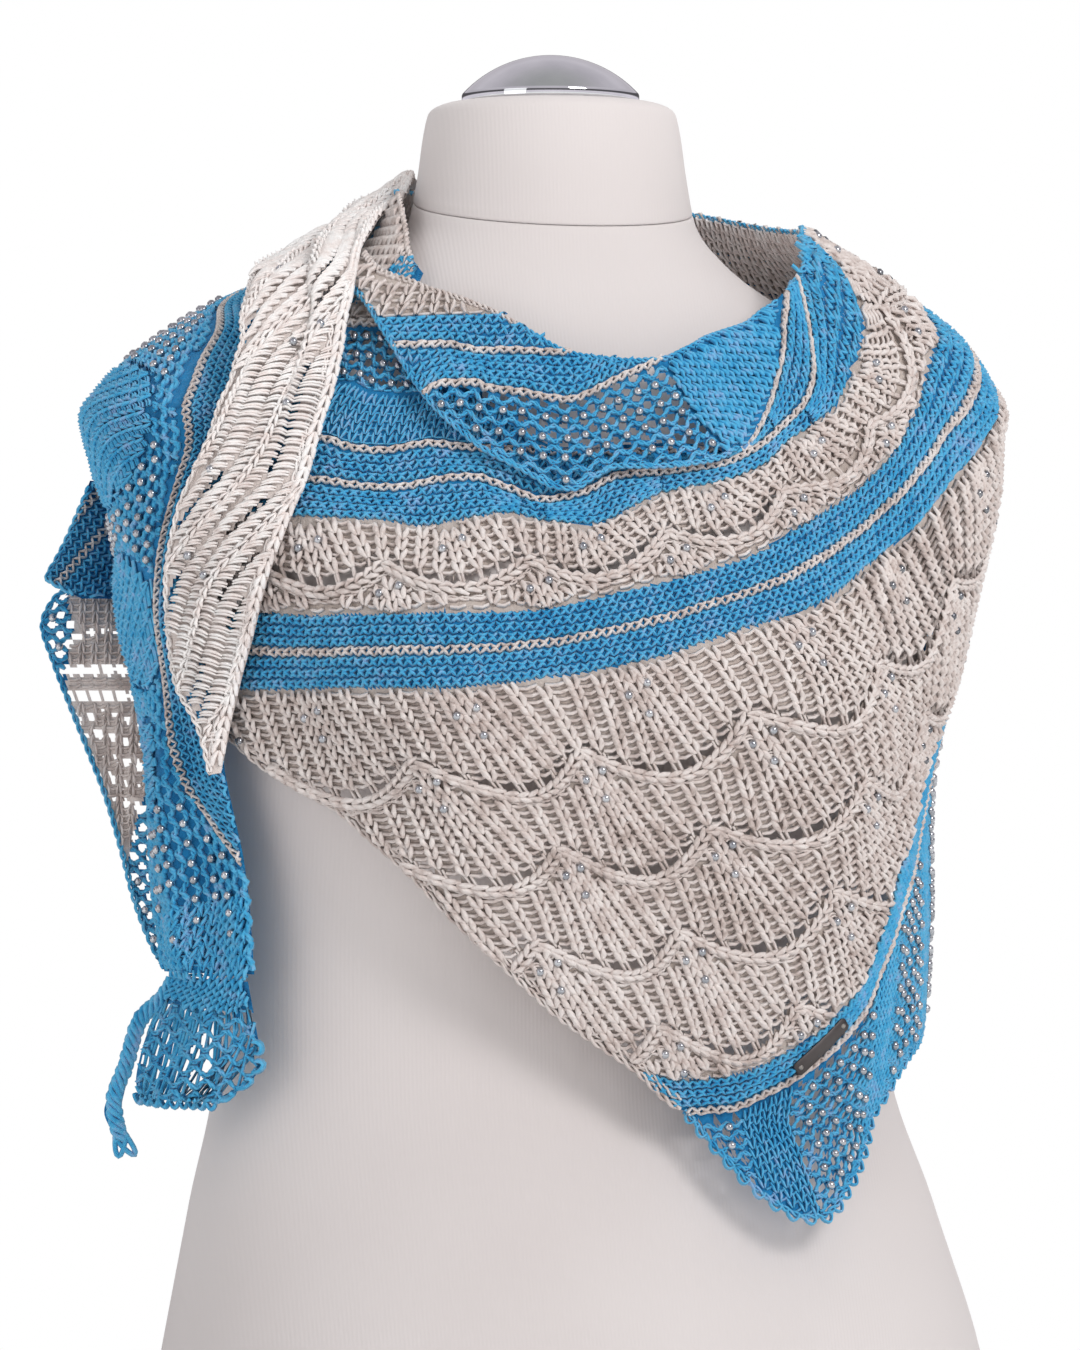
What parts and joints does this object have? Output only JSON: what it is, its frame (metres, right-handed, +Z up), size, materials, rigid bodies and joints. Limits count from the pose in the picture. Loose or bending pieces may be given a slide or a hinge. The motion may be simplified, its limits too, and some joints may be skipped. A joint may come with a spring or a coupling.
{
  "type": "knitted lace shawl on a limbless dress form",
  "caption": "Knitted lace shawl in blue and beige stripes with beads, wound as a cowl round the neck of a white limbless dress form with a chrome neck cap.",
  "frame": {"origin": "centre of the dress form's flat base, on the neck axis", "axes": "+Z up along the neck axis, -Y out of the form's chest, +X to the form's own left (the viewer's right)"},
  "size_m": [0.4225, 0.299, 0.6723],
  "materials": {
    "form_torso": "fine ribbed jersey",
    "form_neck": "fine ribbed jersey",
    "form_cap": "polished",
    "scarf_front": "knitted lace",
    "scarf_cowl": "knitted, beaded",
    "scarf_back": "knitted lace",
    "scarf_shoulder": "knitted, beaded",
    "scarf_tail": "knitted lace, wrong side",
    "scarf_tail_end": "knitted mesh",
    "scarf_tail_tip": "knitted",
    "scarf_side_flap": "garter stitch",
    "scarf_back_end": "open lace",
    "tag_plate": "dark satin"
  },
  "bodies": {
    "root": {"form_torso": "form_torso", "form_neck": "form_neck", "form_cap": "form_cap", "scarf_front": "scarf_front", "scarf_cowl": "scarf_cowl", "scarf_back": "scarf_back", "scarf_shoulder": "scarf_shoulder", "scarf_tail": "scarf_tail", "scarf_tail_end": "scarf_tail_end", "scarf_tail_tip": "scarf_tail_tip", "scarf_side_flap": "scarf_side_flap", "scarf_back_end": "scarf_back_end", "tag_plate": "tag_plate"}
  },
  "joints": []
}
